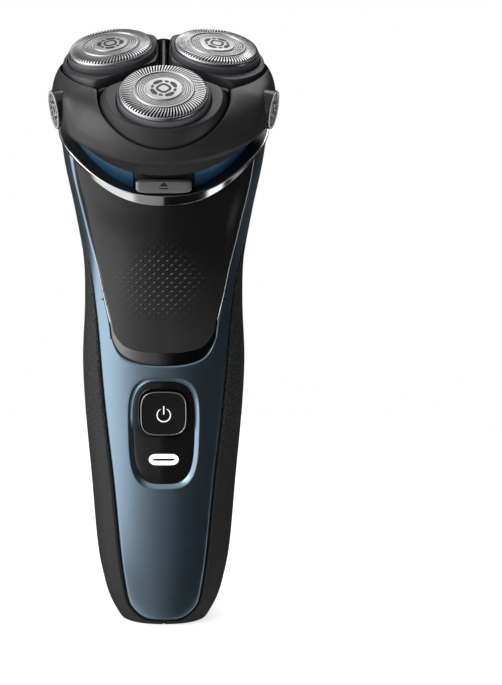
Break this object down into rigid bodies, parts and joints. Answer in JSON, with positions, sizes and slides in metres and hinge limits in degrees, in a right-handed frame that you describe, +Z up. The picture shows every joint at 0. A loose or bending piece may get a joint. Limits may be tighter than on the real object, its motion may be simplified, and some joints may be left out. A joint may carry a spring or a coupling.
{
  "type": "rotary electric shaver",
  "caption": "Cordless rotary electric shaver with tilted flip-open head, flexing round cutting heads, gear drive, press buttons and pop-up trimmer.",
  "frame": {"origin": "centre of the flat base that the handle stands on", "axes": "+Z up the handle, -Y the front with the buttons, +X to the right seen from the front"},
  "size_m": [0.062, 0.0599, 0.167],
  "materials": {
    "blue_shell": "satin metallic",
    "grip_black": "fine moulded grain",
    "panel_black": "satin with embossed pattern",
    "trim_black": "gloss",
    "chrome": "polished",
    "deck_black": "satin",
    "chamber_blue": "semi-gloss",
    "steel": "ground",
    "panel_gloss": "high gloss",
    "light_white": "translucent",
    "frame_white": "moulded",
    "motor_can": "zinc plated",
    "cell_wrap": "shrink sleeve",
    "board_green": "solder mask",
    "contact_brass": "plated",
    "seal_rubber": "matte",
    "copper": "enamelled winding",
    "gear_ivory": "self-lubricating",
    "head_black": "satin",
    "emblem_black": "gloss",
    "skirt_grey": "satin",
    "guard_steel": "polished and ground",
    "button_black": "spun satin",
    "gunmetal": "satin metallic"
  },
  "bodies": {
    "handle": {"front_shell": "blue_shell", "rear_shell": "grip_black", "front_panel": "panel_black", "panel_trim": "trim_black", "collar_ring": "chrome", "collar_deck": "deck_black", "hair_chamber": "chamber_blue", "hinge_pin": "steel", "control_panel": "panel_gloss", "light_window": "light_white", "chassis": "frame_white", "gear_plate": "frame_white", "motor": "motor_can", "battery": "cell_wrap", "battery_tabs": "steel", "circuit_board": "board_green", "status_led": "light_white", "tact_switch": "steel", "charging_socket": "deck_black", "contact_pins": "contact_brass", "shell_screws": "steel", "deck_seal": "seal_rubber", "trimmer_housing": "deck_black"},
    "rotor": {"motor_shaft": "steel", "armature": "copper", "pinion": "gear_ivory"},
    "shaving_unit": {"head_cover": "head_black", "side_emblems": "emblem_black", "retaining_frame": "deck_black", "frame_lock": "skirt_grey"},
    "power_button": {"power_button": "button_black", "button_ring": "chrome"},
    "release_button": {"release_button": "gunmetal"},
    "trimmer": {"trimmer_arm": "deck_black", "trimmer_comb": "steel", "trimmer_pin": "steel"},
    "trimmer_blade": {"trimmer_blade": "steel"},
    "trimmer_slider": {"trimmer_slider": "deck_black"},
    "gear_1": {"drive_gear_1": "gear_ivory", "spindle_1": "steel", "spindle_spring_1": "steel"},
    "holder_1": {"head_holder_1": "head_black", "guard_skirt_1": "skirt_grey", "guard_1": "guard_steel"},
    "cutter_1": {"cutter_1": "steel"},
    "gear_2": {"drive_gear_2": "gear_ivory", "spindle_2": "steel", "spindle_spring_2": "steel"},
    "holder_2": {"head_holder_2": "head_black", "guard_skirt_2": "skirt_grey", "guard_2": "guard_steel"},
    "cutter_2": {"cutter_2": "steel"},
    "gear_3": {"drive_gear_3": "gear_ivory", "spindle_3": "steel", "spindle_spring_3": "steel"},
    "holder_3": {"head_holder_3": "head_black", "guard_skirt_3": "skirt_grey", "guard_3": "guard_steel"},
    "cutter_3": {"cutter_3": "steel"}
  },
  "joints": [
    {"name": "motor_spin", "type": "hinge", "parent": "handle", "child": "rotor", "pos_m": [0, 0.00721, 0.12943], "axis": [0, -0.5736, 0.8192], "continuous": true},
    {"name": "head_open", "type": "hinge", "parent": "handle", "child": "shaving_unit", "pos_m": [0, 0.02246, 0.15524], "axis": [-1, 0, 0], "range_deg": [0, 100]},
    {"name": "power_press", "type": "slide", "parent": "handle", "child": "power_button", "axis": [0, 1, 0], "range_m": [0, 0.0006], "stiffness_N_per_m": 1500, "springref_m": -0.0006},
    {"name": "release_press", "type": "slide", "parent": "handle", "child": "release_button", "axis": [0, 1, 0], "range_m": [0, 0.0008], "stiffness_N_per_m": 1200, "springref_m": -0.0008},
    {"name": "trimmer_open", "type": "hinge", "parent": "handle", "child": "trimmer", "pos_m": [0, 0.0141, 0.066], "axis": [-1, 0, 0], "range_deg": [0, 50]},
    {"name": "trimmer_stroke", "type": "slide", "parent": "trimmer", "child": "trimmer_blade", "axis": [1, 0, 0], "range_m": [-0.0004, 0.0004]},
    {"name": "trimmer_slide", "type": "slide", "parent": "handle", "child": "trimmer_slider", "axis": [0, 0, 1], "range_m": [0, 0.003], "stiffness_N_per_m": 150, "springref_m": -0.001},
    {"name": "gear_spin_1", "type": "hinge", "parent": "handle", "child": "gear_1", "pos_m": [0, -0.00836, 0.12463], "axis": [0, -0.5736, 0.8192], "continuous": true},
    {"name": "holder_flex_1", "type": "hinge", "parent": "shaving_unit", "child": "holder_1", "pos_m": [0, -0.02081, 0.14155], "axis": [1, 0, 0], "range_deg": [-3, 3], "stiffness_Nm_per_rad": 0.2},
    {"name": "cutter_spin_1", "type": "hinge", "parent": "holder_1", "child": "cutter_1", "pos_m": [0, -0.02352, 0.14454], "axis": [0, -0.6691, 0.7431], "continuous": true},
    {"name": "gear_spin_2", "type": "hinge", "parent": "handle", "child": "gear_2", "pos_m": [0.01342, 0.01069, 0.13797], "axis": [0, -0.5736, 0.8192], "continuous": true},
    {"name": "holder_flex_2", "type": "hinge", "parent": "shaving_unit", "child": "holder_2", "pos_m": [0.01386, -0.00115, 0.15531], "axis": [-0.5, 0.7094, 0.4967], "range_deg": [-3, 3], "stiffness_Nm_per_rad": 0.2},
    {"name": "cutter_spin_2", "type": "hinge", "parent": "holder_2", "child": "cutter_2", "pos_m": [0.01429, -0.00324, 0.15873], "axis": [0.1055, -0.5194, 0.848], "continuous": true},
    {"name": "gear_spin_3", "type": "hinge", "parent": "handle", "child": "gear_3", "pos_m": [-0.01342, 0.01069, 0.13797], "axis": [0, -0.5736, 0.8192], "continuous": true},
    {"name": "holder_flex_3", "type": "hinge", "parent": "shaving_unit", "child": "holder_3", "pos_m": [-0.01386, -0.00115, 0.15531], "axis": [-0.5, -0.7094, -0.4967], "range_deg": [-3, 3], "stiffness_Nm_per_rad": 0.2},
    {"name": "cutter_spin_3", "type": "hinge", "parent": "holder_3", "child": "cutter_3", "pos_m": [-0.01429, -0.00324, 0.15873], "axis": [-0.1055, -0.5194, 0.848], "continuous": true}
  ],
  "couplings": [
    {"joint": "gear_spin_1", "follows": "motor_spin", "ratio": -0.51219},
    {"joint": "cutter_spin_1", "follows": "motor_spin", "ratio": -0.51219},
    {"joint": "gear_spin_2", "follows": "motor_spin", "ratio": -0.51219},
    {"joint": "cutter_spin_2", "follows": "motor_spin", "ratio": -0.51219},
    {"joint": "gear_spin_3", "follows": "motor_spin", "ratio": -0.51219},
    {"joint": "cutter_spin_3", "follows": "motor_spin", "ratio": -0.51219}
  ]
}
